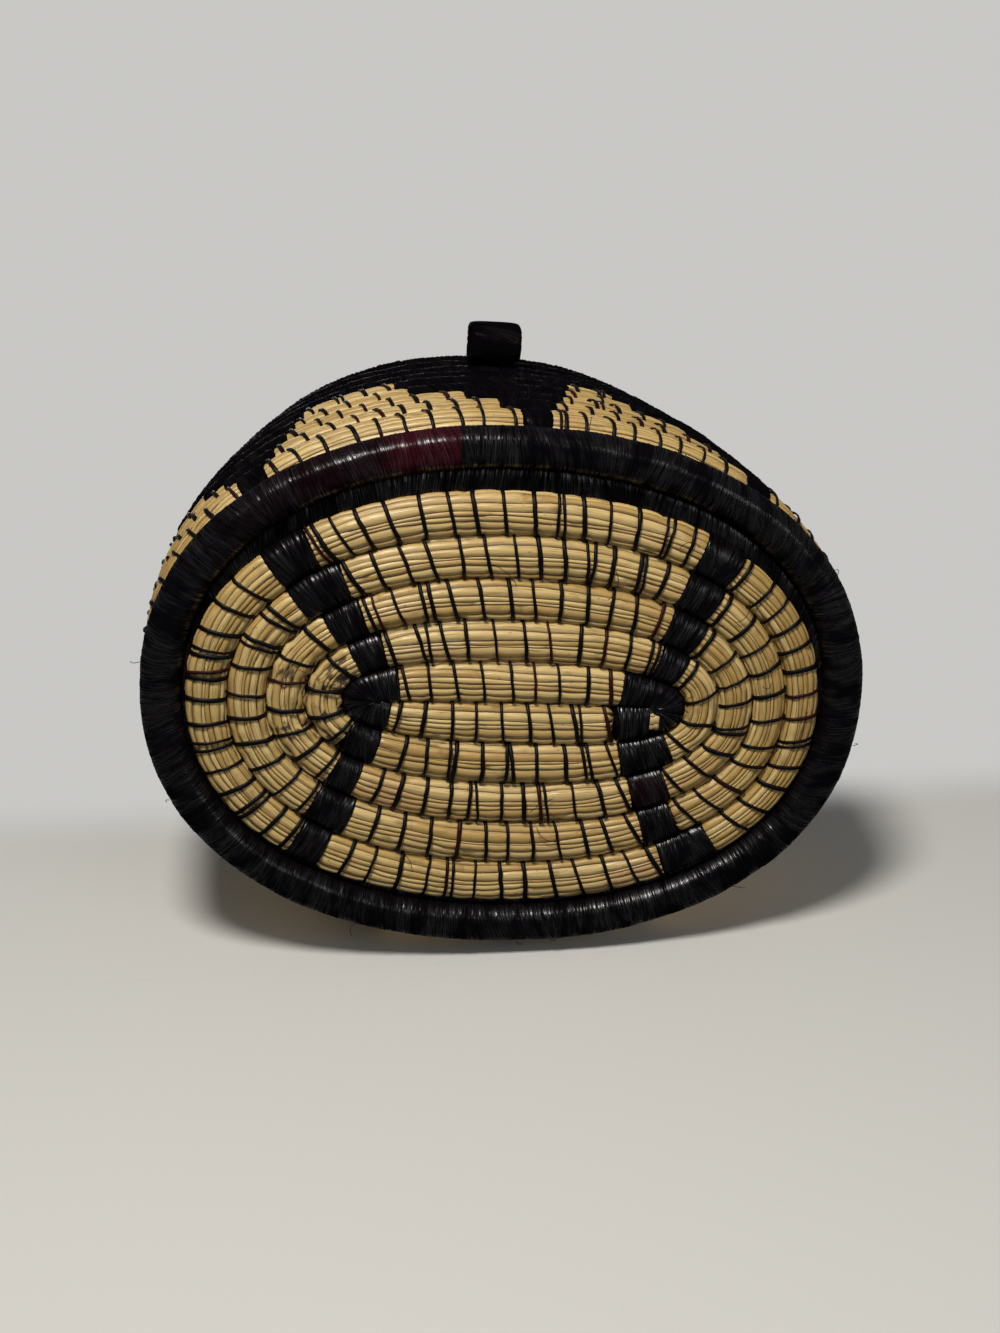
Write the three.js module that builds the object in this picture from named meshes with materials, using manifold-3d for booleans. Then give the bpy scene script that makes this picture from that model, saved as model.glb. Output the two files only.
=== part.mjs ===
// Oval lidded basket of coiled grass, standing upright: X along its length, lid loop at -Y, hinge at +Y.
// Sizes are in millimetres. Every coil is one bundle of grass sewn to the turn beside it.
import * as THREE from "three";
import Module from "manifold-3d";

const wasm = await Module();
wasm.setup();

// Driving sizes
const footLength = 150;
const footDepth = 112;
const footCordHeight = 8.6;
const footFlat = 0.5;
const baseTurns = 5;
const baseCoreLength = 71;
const baseInsetLength = 0.7;
const baseInsetDepth = 2.8;
const baseShift = 1.8;
const coreShift = 1.8;
const baseRecess = 1.2;
const coilThickness = 7;
const wallTurns = 5;
const wallPitch = 9;
const wallOverEnds = 0;
const wallOverSides = 1.6;
const mouthTaperLength = 9.3;
const mouthTaperDepth = 1.8;
const taperStart = 20;
const taperReach = 65;
const rimCord = 9.2;
const lidTurns = 5;
const lidCoreLength = 56;
const lidRise = 5;
const collarTurns = 2;
const collarDepth = 4;
const collarThickness = 4.5;
const collarPlayLength = 2.4;
const collarPlayDepth = 3.6;
const loopWidth = 11.6;
const loopReach = 9.6;
const loopHeight = 12;
const loopStrap = 1.8;
const loopBend = 4;
const loopInnerBend = 1.4;
const loopDrop = 5.5;
const hingeSpread = 22;
const hingeCord = 2.2;

// Clearances
const touch = 0.3;
const turnGap = 0.7;
const hingeSlack = 0.75;
const notchPlay = 0.45;
const sweepPlay = 3.2;
const facetPlay = 0.6;

// Fineness of the meshes
const loopSteps = 24;
const ringSteps = 48;
const ringSides = 8;
const hingeSides = 8;
const hingeArcSteps = 8;
const bendSteps = 4;
const drumSteps = 24;
const nudge = 0.01;

// Ovals: squarer than an ellipse, most of all at the core of the base
const ovalPower = 2.16;
const corePower = 3.4;

// Share of a coil's thickness that lies flat against the turn beside it
const coilPress = 0.68;

// Where each winding steps out to its next turn, as an angle and a share of a turn
const baseStepAngle = THREE.MathUtils.degToRad(45);
const wallStepAngle = THREE.MathUtils.degToRad(75);
const stepShare = 0.09;

// Levels worked out from the sizes above
const footCentre = footCordHeight / 2 - footFlat;
const footTop = footCentre + footCordHeight / 2;
const baseLevel = baseRecess + coilThickness / 2;
const cornerLevel = Math.max(footTop, baseLevel + coilThickness / 2) + touch + coilThickness / 2;
const wallFloor = footTop + touch;
const wallTop = wallFloor + wallTurns * wallPitch;
const darkLevel = wallTop + touch + wallPitch / 2;
const bodyRimLevel = darkLevel + wallPitch / 2 + touch + rimCord / 2;
const lidRimLevel = bodyRimLevel + rimCord + touch;
const lidTopLevel = lidRimLevel + rimCord + touch;

const wrapBlack = { color: 0x17141a, roughness: 0.45, metalness: 0 };
const grassStraw = { color: 0xd2b070, roughness: 0.6, metalness: 0 };

function ovalPoint(a, b, power, angle) {
  const c = Math.cos(angle);
  const s = Math.sin(angle);
  const x = a * Math.sign(c) * Math.pow(Math.abs(c), 2 / power);
  const y = b * Math.sign(s) * Math.pow(Math.abs(s), 2 / power);
  return new THREE.Vector2(x, y);
}

// Outer half length and half depth of the body at a height
function bodyHalf(z) {
  const t = Math.max(0, (z - taperStart) / taperReach);
  return {
    a: footLength / 2 + wallOverEnds - mouthTaperLength * t * t,
    b: footDepth / 2 + wallOverSides - mouthTaperDepth * t * t,
  };
}

function toGeometry(points, faces) {
  const geometry = new THREE.BufferGeometry();
  geometry.setAttribute("position", new THREE.Float32BufferAttribute(points.flatMap((p) => p.toArray()), 3));
  geometry.setIndex(faces.flat());
  geometry.computeVertexNormals();
  return geometry;
}

// A skin over rows of section points, closed on itself or with flat ends
function skin(rows, closed) {
  const sides = rows[0].length;
  const points = rows.flat();
  const faces = [];
  const spans = closed ? rows.length : rows.length - 1;
  for (let i = 0; i < spans; i += 1) {
    const here = i * sides;
    const there = ((i + 1) % rows.length) * sides;
    for (let j = 0; j < sides; j += 1) {
      const next = (j + 1) % sides;
      faces.push([here + j, there + j, there + next], [here + j, there + next, here + next]);
    }
  }
  if (!closed) {
    const last = (rows.length - 1) * sides;
    for (let j = 1; j < sides - 1; j += 1) {
      faces.push([0, j, j + 1], [last, last + j + 1, last + j]);
    }
  }
  return orient(points, faces);
}

function orient(points, faces) {
  let volume = 0;
  for (const [i, j, k] of faces) {
    volume += points[i].dot(new THREE.Vector3().crossVectors(points[j], points[k]));
  }
  return toGeometry(points, volume < 0 ? faces.map(([i, j, k]) => [i, k, j]) : faces);
}

function section(centre, across, through, sides, turn) {
  const row = [];
  for (let j = 0; j < sides; j += 1) {
    const angle = turn + (2 * Math.PI * j) / sides;
    const point = centre.clone().addScaledVector(across, Math.cos(angle));
    row.push(point.addScaledVector(through, Math.sin(angle)));
  }
  return row;
}

// A bundle of grass, full outside and inside and pressed flat against the turns beside it
function coilSection(centre, across, through) {
  const corners = [
    [0, 1],
    [1, coilPress],
    [1, -coilPress],
    [0, -1],
    [-1, -coilPress],
    [-1, coilPress],
  ];
  return corners.map(([x, y]) => centre.clone().addScaledVector(across, x).addScaledVector(through, y));
}

// A winding lies between two edges of its surface: level for most of a turn, then a step to the next
// turn. Its first and last ends taper off beside that step.
function winding({ edge, turns, stepAngle, thickness }) {
  const ease = (x) => x * x * (3 - 2 * x);
  const stepAt = (share) => ease(THREE.MathUtils.clamp((share - 1 + stepShare) / stepShare, 0, 1));
  const rows = [];
  const first = -Math.round((stepShare * loopSteps) / 2);
  const last = Math.round(turns * loopSteps) + first;
  for (let i = first; i <= last; i += 1) {
    const turn = Math.floor(i / loopSteps);
    const step = stepAt(i / loopSteps - turn);
    const inner = Math.max(0, turn + step);
    const outer = Math.min(turns, turn + 1 + step);
    const angle = stepAngle + (2 * Math.PI * i) / loopSteps;
    const low = edge(inner, angle);
    const high = edge(outer, angle);
    const between = (inner + outer) / 2;
    const along = edge(between, angle + nudge).sub(edge(between, angle - nudge));
    const across = high.clone().sub(low).multiplyScalar(0.5);
    const through = new THREE.Vector3().crossVectors(along, across).normalize();
    const square = new THREE.Vector3().crossVectors(through, along).normalize().dot(across);
    across.multiplyScalar(1 - turnGap / 2 / square);
    const centre = low.add(high).multiplyScalar(0.5);
    rows.push(coilSection(centre, across, through.multiplyScalar(thickness / 2)));
  }
  return { geometry: skin(rows, false), rows };
}

// Least distance between section points of different turns
function leastGap(name, rows) {
  let least = Infinity;
  for (let i = 0; i < rows.length; i += 1) {
    for (let k = i + loopSteps / 2; k < rows.length; k += 1) {
      for (const p of rows[i]) {
        for (const q of rows[k]) {
          least = Math.min(least, p.distanceTo(q));
        }
      }
    }
  }
  console.log(`${name}: least gap to itself ${least.toFixed(2)} mm`);
}

// A field of rounds: straight at the core, which may sit off the middle, and rounder outward
function roundField({ turns, coreLength, length, depth, centreX, centreY, level }) {
  const a0 = coreLength / 2 - depth / 2 / turns;
  const growth = (length / 2 - coreLength / 2) / (turns - 1);
  return (u, angle) => {
    const a = a0 + (coreLength / 2 - a0) * Math.min(u, 1) + growth * Math.max(0, u - 1);
    const b = (depth / 2 / turns) * u;
    const power = ovalPower + (corePower - ovalPower) * Math.exp(-u);
    const p = ovalPoint(a, b, power, angle);
    return new THREE.Vector3(centreX * (1 - Math.pow(u / turns, 2)) + p.x, centreY + p.y, level(u));
  };
}

function baseCoil() {
  const edge = roundField({
    turns: baseTurns,
    coreLength: baseCoreLength,
    length: footLength - 2 * (footCordHeight + baseInsetLength),
    depth: footDepth - 2 * (footCordHeight + baseInsetDepth),
    centreX: coreShift,
    centreY: baseShift,
    level: () => baseLevel,
  });
  const coil = winding({ edge, turns: baseTurns, stepAngle: baseStepAngle, thickness: coilThickness });
  leastGap("base_coil", coil.rows);
  return coil.geometry;
}

function wallCoil() {
  const edge = (u, angle) => {
    const z = wallFloor + u * wallPitch;
    const { a, b } = bodyHalf(z);
    const p = ovalPoint(a - coilThickness / 2, b - coilThickness / 2, ovalPower, angle);
    return new THREE.Vector3(p.x, p.y, z);
  };
  const coil = winding({ edge, turns: wallTurns, stepAngle: wallStepAngle, thickness: coilThickness });
  leastGap("wall_coil", coil.rows);
  return coil.geometry;
}

// A closed round of cord, with a flat under it where it is a foot
function ring({ a, b, z, width, height, flat = 0, steps = ringSteps, sides = ringSides }) {
  const rows = [];
  for (let i = 0; i < steps; i += 1) {
    const angle = (2 * Math.PI * i) / steps;
    const p = ovalPoint(a, b, ovalPower, angle);
    const ahead = ovalPoint(a, b, ovalPower, angle + nudge);
    const behind = ovalPoint(a, b, ovalPower, angle - nudge);
    const normal = new THREE.Vector3(ahead.y - behind.y, behind.x - ahead.x, 0).normalize();
    const up = new THREE.Vector3(0, 0, height / 2);
    const row = section(new THREE.Vector3(p.x, p.y, z), normal.multiplyScalar(width / 2), up, sides, Math.PI / sides);
    for (const point of row) {
      point.z = Math.max(point.z, z - height / 2 + flat);
    }
    rows.push(row);
  }
  return skin(rows, true);
}

function footRing() {
  const fullHeight = footCordHeight / Math.cos(Math.PI / ringSides);
  const bottom = footCentre - fullHeight / 2;
  return ring({
    a: (footLength - footCordHeight) / 2,
    b: (footDepth - footCordHeight) / 2,
    z: footCentre,
    width: footCordHeight,
    height: fullHeight,
    flat: -bottom,
  });
}

// Black turn where the base turns up into the wall, inside the first course
function baseEdge() {
  const { a, b } = bodyHalf(cornerLevel);
  const inset = 1.5 * coilThickness + touch + facetPlay;
  return ring({ a: a - inset, b: b - inset, z: cornerLevel, width: coilThickness, height: coilThickness });
}

// Turns above the patterned wall: a dark course, then the mouth's rim
function bodyRound(level, cord, height) {
  const { a, b } = bodyHalf(level);
  return ring({ a: a - cord / 2, b: b - cord / 2, z: level, width: cord, height });
}

const lidRimHalf = bodyHalf(lidRimLevel);
const lidTopHalf = bodyHalf(lidTopLevel);
const hingeAxis = { y: lidRimHalf.b - rimCord / 2, z: lidRimLevel };

// Lid field: the same winding as the base, crowned
function lidCoil() {
  const edge = roundField({
    turns: lidTurns,
    coreLength: lidCoreLength,
    length: 2 * (lidTopHalf.a - rimCord),
    depth: 2 * (lidTopHalf.b - rimCord),
    centreX: 0,
    centreY: 0,
    level: (u) => lidTopLevel + lidRise * (1 - Math.pow(u / lidTurns, 2)),
  });
  const coil = winding({ edge, turns: lidTurns, stepAngle: baseStepAngle, thickness: coilThickness });
  leastGap("lid_coil", coil.rows);
  return coil.geometry;
}

// Collar under the lid, which drops inside the mouth
function lidCollar() {
  const { a, b } = bodyHalf(bodyRimLevel);
  const halfLength = a - rimCord - collarPlayLength - collarThickness / 2;
  const halfDepth = b - rimCord - collarPlayDepth - collarThickness / 2;
  const top = lidTopLevel - coilThickness / 2;
  const bottom = bodyRimLevel + rimCord / 2 - collarDepth;
  const edge = (u, angle) => {
    const p = ovalPoint(halfLength, halfDepth, ovalPower, angle);
    return new THREE.Vector3(p.x, p.y, top + ((bottom - top) * u) / collarTurns);
  };
  const coil = winding({ edge, turns: collarTurns, stepAngle: wallStepAngle, thickness: collarThickness });
  leastGap("lid_collar", coil.rows);
  return coil.geometry;
}

// Pull loop: a flat wrapped strap bent out of the lid's rim and back, hanging a little over the body's
function lidLoop() {
  const back = lidRimHalf.b + touch;
  const lowBack = bodyHalf(bodyRimLevel).b + touch + facetPlay;
  const front = back + loopReach;
  const top = loopHeight / 2;
  const step = loopDrop - rimCord / 2;
  const shape = new THREE.Shape();
  shape.moveTo(-lowBack, -top);
  shape.lineTo(-front + loopBend, -top);
  shape.quadraticCurveTo(-front, -top, -front, -top + loopBend);
  shape.lineTo(-front, top - loopBend);
  shape.quadraticCurveTo(-front, top, -front + loopBend, top);
  shape.lineTo(-back, top);
  shape.lineTo(-back, step);
  shape.lineTo(-lowBack, step);
  shape.closePath();
  const { low, high } = loopGap();
  const gap = new THREE.Path();
  gap.moveTo(high.x, low.y);
  gap.lineTo(high.x, high.y);
  gap.lineTo(low.x + loopInnerBend, high.y);
  gap.quadraticCurveTo(low.x, high.y, low.x, high.y - loopInnerBend);
  gap.lineTo(low.x, low.y + loopInnerBend);
  gap.quadraticCurveTo(low.x, low.y, low.x + loopInnerBend, low.y);
  gap.closePath();
  shape.holes.push(gap);
  const geometry = new THREE.ExtrudeGeometry(shape, { depth: loopWidth, bevelEnabled: false, curveSegments: bendSteps });
  const stand = new THREE.Matrix4().makeBasis(
    new THREE.Vector3(0, 1, 0),
    new THREE.Vector3(0, 0, 1),
    new THREE.Vector3(1, 0, 0),
  );
  stand.setPosition(-loopWidth / 2, 0, lidRimLevel - loopDrop);
  return geometry.applyMatrix4(stand);
}

// The finger gap in the pull loop, in the loop's own side view
function loopGap() {
  const tall = loopHeight / 2 - loopStrap;
  return {
    low: new THREE.Vector2(-lidRimHalf.b - touch - loopReach + loopStrap, -tall),
    high: new THREE.Vector2(-lidRimHalf.b - touch - facetPlay - loopStrap, tall),
  };
}

// Hinge: a cord loop round the body's rim and the lid's rim, fast in the body
function hingeOutline(radius) {
  const rows = [];
  const low = new THREE.Vector2(hingeAxis.y, bodyRimLevel);
  const high = new THREE.Vector2(hingeAxis.y, lidRimLevel);
  for (const [end, start] of [[high, 0], [low, Math.PI]]) {
    for (let i = 0; i <= hingeArcSteps; i += 1) {
      const angle = start + (Math.PI * i) / hingeArcSteps;
      const out = new THREE.Vector2(Math.cos(angle), Math.sin(angle));
      rows.push({ centre: end.clone().addScaledVector(out, radius), out });
    }
  }
  return rows;
}

function hingeLoop(x, cord) {
  const radius = rimCord / 2 + hingeSlack + hingeCord / 2;
  const rows = hingeOutline(radius).map(({ centre, out }) =>
    section(
      new THREE.Vector3(x, centre.x, centre.y),
      new THREE.Vector3(0, (out.x * cord) / 2, (out.y * cord) / 2),
      new THREE.Vector3(cord / 2, 0, 0),
      hingeSides,
      Math.PI / hingeSides,
    ),
  );
  return skin(rows, true);
}

// Space round the hinge axis in which the loop stays while the lid turns
function hingeNotch(x) {
  const radius = rimCord / 2 + hingeSlack + hingeCord + sweepPlay;
  const half = hingeCord / 2 + notchPlay;
  const drum = new THREE.CylinderGeometry(radius, radius, 2 * half, drumSteps);
  drum.rotateZ(Math.PI / 2);
  drum.translate(x, hingeAxis.y, hingeAxis.z);
  return drum;
}

function toManifold(geometry) {
  const merged = new Map();
  const points = [];
  const index = [];
  const position = geometry.getAttribute("position");
  const order = geometry.index ? [...geometry.index.array] : [...Array(position.count).keys()];
  for (const i of order) {
    const p = [position.getX(i), position.getY(i), position.getZ(i)];
    const key = p.map((v) => Math.round(v * 1e4)).join();
    if (!merged.has(key)) {
      merged.set(key, points.length / 3);
      points.push(...p);
    }
    index.push(merged.get(key));
  }
  const mesh = new wasm.Mesh({
    numProp: 3,
    vertProperties: Float32Array.from(points),
    triVerts: Uint32Array.from(index),
  });
  return new wasm.Manifold(mesh);
}

function cut(geometry, tools) {
  let solid = toManifold(geometry);
  for (const tool of tools) {
    solid = solid.subtract(toManifold(tool));
  }
  const mesh = solid.getMesh();
  const result = new THREE.BufferGeometry();
  result.setAttribute("position", new THREE.Float32BufferAttribute(mesh.vertProperties, 3));
  result.setIndex([...mesh.triVerts]);
  result.computeVertexNormals();
  return result;
}

const hingePlaces = [-hingeSpread / 2, hingeSpread / 2];
const lidNotches = hingePlaces.map(hingeNotch);
const bodyNotches = hingePlaces.map((x) => hingeLoop(x, hingeCord + 2 * notchPlay));

const basket = new THREE.Group();
basket.name = "lidded_basket";

function add(name, geometry, look) {
  const mesh = new THREE.Mesh(geometry, new THREE.MeshStandardMaterial(look));
  mesh.name = name;
  basket.add(mesh);
}

add("foot_ring", footRing(), wrapBlack);
add("base_coil", baseCoil(), grassStraw);
add("base_edge", baseEdge(), wrapBlack);
add("wall_coil", wallCoil(), grassStraw);
add("dark_course", cut(bodyRound(darkLevel, coilThickness, wallPitch), bodyNotches), wrapBlack);
add("body_rim", bodyRound(bodyRimLevel, rimCord, rimCord), wrapBlack);
add("lid_rim", bodyRound(lidRimLevel, rimCord, rimCord), wrapBlack);
add("lid_shoulder", cut(bodyRound(lidTopLevel, rimCord, rimCord), lidNotches), wrapBlack);
add("lid_coil", lidCoil(), grassStraw);
add("lid_collar", cut(lidCollar(), lidNotches), wrapBlack);
add("lid_loop", lidLoop(), wrapBlack);
add("hinge_loop_left", hingeLoop(hingePlaces[0], hingeCord), wrapBlack);
add("hinge_loop_right", hingeLoop(hingePlaces[1], hingeCord), wrapBlack);

// The origin is the middle of the footprint on the surface that the basket stands on
const footprint = new THREE.Box3().setFromObject(basket);
const middle = footprint.getCenter(new THREE.Vector3()).setZ(footprint.min.z);
for (const mesh of basket.children) {
  mesh.geometry.translate(-middle.x, -middle.y, -middle.z);
}
console.log("body centre at y", (-middle.y).toFixed(3), "bottom was at", middle.z.toFixed(3));
console.log("hinge axis at y", (hingeAxis.y - middle.y).toFixed(3), "z", (hingeAxis.z - middle.z).toFixed(3));

export default basket;
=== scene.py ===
import math

import bpy
import numpy as np
from mathutils import Matrix, Vector


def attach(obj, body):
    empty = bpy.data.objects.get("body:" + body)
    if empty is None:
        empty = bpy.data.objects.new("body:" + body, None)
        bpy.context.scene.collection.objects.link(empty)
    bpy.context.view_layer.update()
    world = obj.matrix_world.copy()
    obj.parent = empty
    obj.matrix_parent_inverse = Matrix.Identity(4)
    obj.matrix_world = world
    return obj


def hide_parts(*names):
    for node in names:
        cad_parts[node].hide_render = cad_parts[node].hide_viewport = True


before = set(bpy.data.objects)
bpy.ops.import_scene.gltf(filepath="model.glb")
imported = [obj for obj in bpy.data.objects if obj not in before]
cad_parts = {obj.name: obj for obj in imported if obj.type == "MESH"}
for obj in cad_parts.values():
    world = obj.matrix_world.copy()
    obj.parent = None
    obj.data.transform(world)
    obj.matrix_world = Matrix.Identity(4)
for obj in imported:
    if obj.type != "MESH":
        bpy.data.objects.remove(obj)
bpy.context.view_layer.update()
print("frame loaded:", len(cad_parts), "nodes")


# Camera, as the photograph sees the basket: lying on its back, its base towards the lens
lens = {
    "place": (-0.0493, -0.1282, -0.3739),
    "forward": (0.1182, 0.3140, 0.9420),
    "up": (-0.0302, -0.9471, 0.3195),
    "focal": 52.7,  # on 36 mm along the photograph's long side
}


def linked(name, data):
    obj = bpy.data.objects.new(name, data)
    bpy.context.collection.objects.link(obj)
    return obj


def makeCamera():
    data = bpy.data.cameras.new("camera")
    data.sensor_width = 36
    data.sensor_fit = "AUTO"
    data.lens = lens["focal"]
    data.clip_start = 0.01
    data.clip_end = 20
    camera = linked("camera", data)
    forward = Vector(lens["forward"]).normalized()
    right = forward.cross(Vector(lens["up"])).normalized()
    up = right.cross(forward)
    turned = Matrix((right, up, -forward)).transposed().to_4x4()
    camera.matrix_world = Matrix.Translation(lens["place"]) @ turned
    bpy.context.scene.camera = camera


makeCamera()


# Form of the basket in millimetres, as its solids have it
form = {
    "centreY": 3.517,
    "footLength": 150,
    "footDepth": 112,
    "footCord": 8.6,
    "footCentre": 3.8,
    "wallFloor": 8.4,
    "wallPitch": 9,
    "wallTurns": 5,
    "wallOverSides": 1.6,
    "taperLength": 9.3,
    "taperDepth": 1.8,
    "taperStart": 20,
    "taperReach": 65,
    "coil": 7,
    "rimCord": 9.2,
    "oval": 2.16,
    "core": 3.4,
}


def ovalPoint(a, b, power, angle):
    c, s = np.cos(angle), np.sin(angle)
    x = a * np.sign(c) * np.abs(c) ** (2 / power)
    y = b * np.sign(s) * np.abs(s) ** (2 / power)
    return x, y


def bodyHalf(z):
    t = np.maximum(0, (z - form["taperStart"]) / form["taperReach"])
    a = form["footLength"] / 2 - form["taperLength"] * t * t
    b = form["footDepth"] / 2 + form["wallOverSides"] - form["taperDepth"] * t * t
    return a, b


def unit(v):
    return v / np.maximum(np.linalg.norm(v, axis=-1, keepdims=True), 1e-9)


def squareTo(along, v):
    heading = unit(along)
    return v - np.sum(v * heading, axis=-1, keepdims=True) * heading


def ease(x):
    x = np.clip(x, 0, 1)
    return x * x * (3 - 2 * x)


def wander(rng, s, reach, columns=None):  # smooth chance from -1 to 1, with a new value every reach
    knots = int((s.max() - s.min()) / reach) + 3
    values = rng.uniform(-1, 1, (knots,) if columns is None else (knots, columns))
    place = (s - s.min()) / reach
    low = place.astype(int)
    share = ease(place - low)
    if columns is not None:
        share = share[:, None]
    return values[low] * (1 - share) + values[low + 1] * share


def reached(points):  # length of a line up to each of its points
    return np.concatenate([[0], np.cumsum(np.linalg.norm(np.diff(points, axis=0), axis=1))])


class Path:  # a coil's middle line with half vectors across and through its section
    def __init__(self, centre, across, through, turn, closed):
        self.s = reached(centre)
        self.centre, self.across, self.through, self.turn = centre, across, through, turn
        self.length = self.s[-1]
        self.closed = closed

    def at(self, s):
        def read(values):
            return np.stack([np.interp(s, self.s, values[:, k]) for k in range(3)], -1)

        return read(self.centre), read(self.across), read(self.through)

    def spot(self, x, side, first, last):  # where it passes x on one side, between two turns
        here = (self.turn >= first) & (self.turn <= last)
        here &= np.sign(self.centre[:, 1] - form["centreY"]) == side
        gap = np.where(here, np.abs(self.centre[:, 0] - x), np.inf)
        return self.s[int(np.argmin(gap))]


fullTurn = np.linspace(0, 2 * np.pi, 2401)
nearby = 0.01  # angle to the points that give a line its heading


def pathBetween(edge, inner, outer, angle, thickness, turn, closed):
    low, high = edge(inner, angle), edge(outer, angle)
    middle = (inner + outer) / 2
    along = edge(middle, angle + nearby) - edge(middle, angle - nearby)
    across = squareTo(along, (high - low) / 2)
    through = unit(np.cross(along, across)) * thickness / 2
    return Path((low + high) / 2, across, through, turn, closed)


def windingPath(edge, turns, stepAngle, share, thickness):  # a coil that steps out once in each turn
    t = np.linspace(-share / 2, turns - share / 2, int(turns * 1200))
    turn = np.floor(t)
    step = ease((t - turn - 1 + share) / share)
    inner = np.maximum(0, turn + step)
    outer = np.minimum(turns, turn + 1 + step)
    return pathBetween(edge, inner, outer, math.radians(stepAngle) + 2 * np.pi * t, thickness, t, False)


def roundPath(edge, k, thickness):  # one round without a step, from its right end by way of the back
    return pathBetween(edge, k, k + 1, fullTurn, thickness, fullTurn / (2 * np.pi), True)


def ringPath(a, b, z, width, height):
    x, y = ovalPoint(a, b, form["oval"], fullTurn)
    ahead = np.stack(ovalPoint(a, b, form["oval"], fullTurn + nearby), -1)
    behind = np.stack(ovalPoint(a, b, form["oval"], fullTurn - nearby), -1)
    chord = ahead - behind
    across = unit(np.stack([chord[:, 1], -chord[:, 0], 0 * x], -1)) * width / 2
    through = np.tile([0, 0, height / 2], (len(x), 1))
    centre = np.stack([x, y + form["centreY"], np.full_like(x, z)], -1)
    return Path(centre, across, through, 0 * x, True)


def fieldEdge(turns, coreLength, length, depth, centreX, centreY, level):
    a0 = coreLength / 2 - depth / 2 / turns
    growth = (length / 2 - coreLength / 2) / (turns - 1)

    def edge(u, angle):
        a = a0 + (coreLength / 2 - a0) * np.minimum(u, 1) + growth * np.maximum(0, u - 1)
        power = form["oval"] + (form["core"] - form["oval"]) * np.exp(-u)
        x, y = ovalPoint(a, depth / 2 / turns * u, power, angle)
        middle = centreX * (1 - (u / turns) ** 2)
        return np.stack([middle + x, form["centreY"] + centreY + y, level(u) + 0 * x], -1)

    return edge


def wallEdge(u, angle):
    z = form["wallFloor"] + u * form["wallPitch"]
    a, b = bodyHalf(z)
    x, y = ovalPoint(a - form["coil"] / 2, b - form["coil"] / 2, form["oval"], angle)
    return np.stack([x, y + form["centreY"], z + 0 * x], -1)


class Section:  # a rounded square outline, read by the share of its length
    def __init__(self, power, half):
        angle = np.linspace(0, 2 * np.pi, 721)
        c, s = np.cos(angle), np.sin(angle)
        r = (np.abs(c) ** power + np.abs(s) ** power) ** (-1 / power)
        self.points = np.stack([r * c, r * s], -1)
        self.share = reached(self.points * half)
        self.around = self.share[-1]
        self.share /= self.around

    def at(self, q):
        q = q % 1
        return np.interp(q, self.share, self.points[:, 0]), np.interp(q, self.share, self.points[:, 1])


def setAttributes(mesh, attributes):
    for label, values in attributes.items():
        wide = values.size == 3 * len(mesh.vertices)
        layer = mesh.attributes.new(label, "FLOAT_VECTOR" if wide else "FLOAT", "POINT")
        layer.data.foreach_set("vector" if wide else "value", values.ravel().astype(np.float32))


def meshFromRows(name, rows, closed, attributes):  # a skin over rows of points in millimetres
    count, sides = rows.shape[:2]
    i = np.arange(count if closed else count - 1)[:, None] * sides
    j = np.arange(sides)[None, :]
    following = (j + 1) % sides
    beyond = (i + sides) % (count * sides)
    quads = np.stack([i + j, beyond + j, beyond + following, i + following], -1).reshape(-1, 4)
    points = rows.reshape(-1, 3) * 0.001
    corner = points[quads]
    first, second, third = (corner[:, k] - corner[:, 0] for k in (1, 2, 3))
    outward = np.cross(first, second) + np.cross(second, third)
    volume = np.einsum("ij,ij->i", corner[:, 0], outward)
    caps = []
    if not closed:
        caps = [np.arange(sides), np.arange(sides)[::-1] + (count - 1) * sides]
    if volume.sum() < 0:
        quads = quads[:, ::-1]
        caps = [cap[::-1] for cap in caps]
    loops = np.concatenate([quads.ravel(), *caps]).astype(np.int32)
    starts = np.arange(len(quads)) * 4
    extra = len(quads) * 4 + np.arange(len(caps)) * sides
    mesh = bpy.data.meshes.new(name)
    mesh.vertices.add(len(points))
    mesh.vertices.foreach_set("co", points.ravel().astype(np.float32))
    mesh.loops.add(len(loops))
    mesh.loops.foreach_set("vertex_index", loops)
    mesh.polygons.add(len(quads) + len(caps))
    mesh.polygons.foreach_set("loop_start", np.concatenate([starts, extra]).astype(np.int32))
    mesh.polygons.foreach_set("use_smooth", np.ones(len(quads) + len(caps), bool))
    setAttributes(mesh, attributes)
    mesh.update(calc_edges=True)
    mesh.validate()
    return mesh


def piece(name, mesh, material, body, nodes):
    obj = linked(name, mesh)
    mesh.materials.clear()
    mesh.materials.append(material)
    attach(obj, body)
    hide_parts(*nodes)
    print("piece", name)


# Shader graphs
class Wire:  # an output that takes part in sums
    def __init__(self, graph, socket):
        self.graph = graph
        self.socket = socket

    def sum(self, operation, *values):
        return self.graph.node("ShaderNodeMath", {"operation": operation}, dict(enumerate(values)))

    def __add__(self, other):
        return self.sum("ADD", self, other)

    def __radd__(self, other):
        return self.sum("ADD", other, self)

    def __sub__(self, other):
        return self.sum("SUBTRACT", self, other)

    def __rsub__(self, other):
        return self.sum("SUBTRACT", other, self)

    def __mul__(self, other):
        return self.sum("MULTIPLY", self, other)

    def __rmul__(self, other):
        return self.sum("MULTIPLY", other, self)

    def __rtruediv__(self, other):
        return self.sum("DIVIDE", other, self)

    def __pow__(self, other):
        return self.sum("POWER", self, other)

    def ramp(self, low, high, start=0.0, end=1.0):
        return self.graph.node(
            "ShaderNodeMapRange",
            {"interpolation_type": "SMOOTHSTEP"},
            {"Value": self, "From Min": low, "From Max": high, "To Min": start, "To Max": end},
        )


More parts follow.
